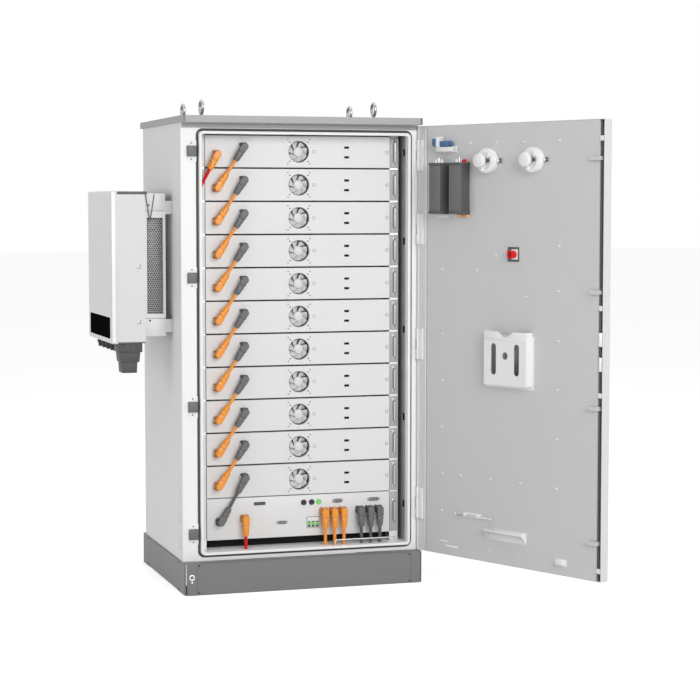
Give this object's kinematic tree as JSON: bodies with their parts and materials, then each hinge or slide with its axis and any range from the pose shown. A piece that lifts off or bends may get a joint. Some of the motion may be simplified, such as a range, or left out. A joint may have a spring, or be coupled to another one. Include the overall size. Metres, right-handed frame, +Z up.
{
  "type": "battery energy storage unit",
  "caption": "Floor-standing battery energy storage cabinet with a full-height hinged door, slide-in battery packs, a control box and a side-mounted inverter.",
  "frame": {"origin": "centre of the plinth's underside, on the floor", "axes": "+Z up, the door side faces -Y, the inverter is on the -X side"},
  "size_m": [1.7835, 1.7719, 2.077],
  "materials": {
    "cabinet_paint": "light grey fine-texture powder coat",
    "plinth_paint": "darker grey powder coat",
    "panel_paint": "darker grey powder coat",
    "lid_paint": "grey powder coat",
    "frame_paint": "light grey powder coat",
    "door_paint": "light grey fine-texture powder coat",
    "pack_paint": "off-white powder coat",
    "inverter_paint": "grey powder coat",
    "cover_plastic": "light grey moulding",
    "cell_case": null,
    "zinc": "zinc plated",
    "galvanised": "pre-galvanised sheet",
    "handle_coat": "black coated zinc casting",
    "seal_rubber": "light foamed seal",
    "black_plastic": "black moulding",
    "dark_plastic": "dark grey moulding",
    "plug_orange": "orange and dark grey mouldings",
    "cable_jacket": "cable sheath",
    "stop_red": "red moulding",
    "green_plastic": "green moulding",
    "white_plastic": "white moulding",
    "holder_plastic": "light grey moulding",
    "stay_wire": "plated wire"
  },
  "bodies": {
    "cabinet": {"plinth_frame": "plinth_paint", "plinth_panels": "panel_paint", "front_frame": "frame_paint", "door_seal": "seal_rubber", "wall_panels": "cabinet_paint", "floor_pan": "frame_paint", "jamb_liners": "frame_paint", "lid": "lid_paint", "lifting_eyes": "zinc", "rack_frame": "galvanised", "pack_handles": "pack_paint", "cell_blocks": "cell_case", "fan_frames": "black_plastic", "power_plugs": "plug_orange", "power_cables": "cable_jacket", "control_box": "pack_paint", "control_fittings": "dark_plastic", "frame_fittings": "zinc", "inverter_bracket": "galvanised", "inverter_guard": "inverter_paint", "inverter_chassis": "inverter_paint", "inverter_cover": "cover_plastic", "inverter_cable_box": "dark_plastic", "battery_pack_01": "pack_paint", "battery_pack_02": "pack_paint", "battery_pack_03": "pack_paint", "battery_pack_04": "pack_paint", "battery_pack_05": "pack_paint", "battery_pack_06": "pack_paint", "battery_pack_07": "pack_paint", "battery_pack_08": "pack_paint", "battery_pack_09": "pack_paint", "battery_pack_10": "pack_paint", "battery_pack_11": "pack_paint"},
    "door": {"door_outer_panel": "door_paint", "door_inner_panel": "door_paint", "door_hinges": "zinc", "door_brackets": "galvanised", "document_holder": "holder_plastic", "smoke_detectors": "white_plastic", "filter_modules": "dark_plastic", "stop_switch_body": "white_plastic"},
    "handle": {"door_handle": "handle_coat"},
    "upper_bar": {"lock_bar_upper": "zinc"},
    "lower_bar": {"lock_bar_lower": "zinc"},
    "stop_button": {"stop_button": "stop_red"},
    "start_button": {"start_button": "green_plastic"},
    "breaker_toggle": {"breaker_toggle": "green_plastic"},
    "stay": {"door_stay": "stay_wire"},
    "fan_01": {"fan_rotor_01": "black_plastic"},
    "fan_02": {"fan_rotor_02": "black_plastic"},
    "fan_03": {"fan_rotor_03": "black_plastic"},
    "fan_04": {"fan_rotor_04": "black_plastic"},
    "fan_05": {"fan_rotor_05": "black_plastic"},
    "fan_06": {"fan_rotor_06": "black_plastic"},
    "fan_07": {"fan_rotor_07": "black_plastic"},
    "fan_08": {"fan_rotor_08": "black_plastic"},
    "fan_09": {"fan_rotor_09": "black_plastic"},
    "fan_10": {"fan_rotor_10": "black_plastic"},
    "fan_11": {"fan_rotor_11": "black_plastic"}
  },
  "joints": [
    {"name": "door_hinge", "type": "hinge", "parent": "cabinet", "child": "door", "pos_m": [0.517, -0.39, 1.033], "axis": [0, 0, 1], "range_deg": [-114.6, 4]},
    {"name": "handle_turn", "type": "hinge", "parent": "door", "child": "handle", "pos_m": [0.97217, -1.28088, 1.1], "axis": [-0.9092, -0.4163, 0], "range_deg": [0, 80]},
    {"name": "upper_bar_slide", "type": "slide", "parent": "door", "child": "upper_bar", "axis": [0, 0, 1], "range_m": [0, 0.0207]},
    {"name": "lower_bar_slide", "type": "slide", "parent": "door", "child": "lower_bar", "axis": [0, 0, -1], "range_m": [0, 0.0207]},
    {"name": "stop_press", "type": "slide", "parent": "door", "child": "stop_button", "axis": [-0.9092, -0.4163, 0], "range_m": [0, 0.0038], "stiffness_N_per_m": 800},
    {"name": "start_press", "type": "slide", "parent": "cabinet", "child": "start_button", "axis": [0, 1, 0], "range_m": [0, 0.004], "stiffness_N_per_m": 400},
    {"name": "breaker_switch", "type": "hinge", "parent": "cabinet", "child": "breaker_toggle", "pos_m": [0.067, -0.308, 0.258], "axis": [1, 0, 0], "range_deg": [0, 60]},
    {"name": "stay_swing", "type": "hinge", "parent": "cabinet", "child": "stay", "pos_m": [0.419, -0.3825, 0.171], "axis": [0, 0, 1], "range_deg": [0, 100]},
    {"name": "fan_spin_01", "type": "hinge", "parent": "cabinet", "child": "fan_01", "pos_m": [0.006, -0.308, 1.856], "axis": [0, 1, 0], "continuous": true},
    {"name": "fan_spin_02", "type": "hinge", "parent": "cabinet", "child": "fan_02", "pos_m": [0.006, -0.308, 1.716], "axis": [0, 1, 0], "continuous": true},
    {"name": "fan_spin_03", "type": "hinge", "parent": "cabinet", "child": "fan_03", "pos_m": [0.006, -0.308, 1.576], "axis": [0, 1, 0], "continuous": true},
    {"name": "fan_spin_04", "type": "hinge", "parent": "cabinet", "child": "fan_04", "pos_m": [0.006, -0.308, 1.436], "axis": [0, 1, 0], "continuous": true},
    {"name": "fan_spin_05", "type": "hinge", "parent": "cabinet", "child": "fan_05", "pos_m": [0.006, -0.308, 1.296], "axis": [0, 1, 0], "continuous": true},
    {"name": "fan_spin_06", "type": "hinge", "parent": "cabinet", "child": "fan_06", "pos_m": [0.006, -0.308, 1.156], "axis": [0, 1, 0], "continuous": true},
    {"name": "fan_spin_07", "type": "hinge", "parent": "cabinet", "child": "fan_07", "pos_m": [0.006, -0.308, 1.016], "axis": [0, 1, 0], "continuous": true},
    {"name": "fan_spin_08", "type": "hinge", "parent": "cabinet", "child": "fan_08", "pos_m": [0.006, -0.308, 0.876], "axis": [0, 1, 0], "continuous": true},
    {"name": "fan_spin_09", "type": "hinge", "parent": "cabinet", "child": "fan_09", "pos_m": [0.006, -0.308, 0.736], "axis": [0, 1, 0], "continuous": true},
    {"name": "fan_spin_10", "type": "hinge", "parent": "cabinet", "child": "fan_10", "pos_m": [0.006, -0.308, 0.596], "axis": [0, 1, 0], "continuous": true},
    {"name": "fan_spin_11", "type": "hinge", "parent": "cabinet", "child": "fan_11", "pos_m": [0.006, -0.308, 0.456], "axis": [0, 1, 0], "continuous": true}
  ],
  "couplings": [
    {"joint": "upper_bar_slide", "follows": "handle_turn", "m_per_rad": 0.014732},
    {"joint": "lower_bar_slide", "follows": "handle_turn", "m_per_rad": 0.014732}
  ]
}
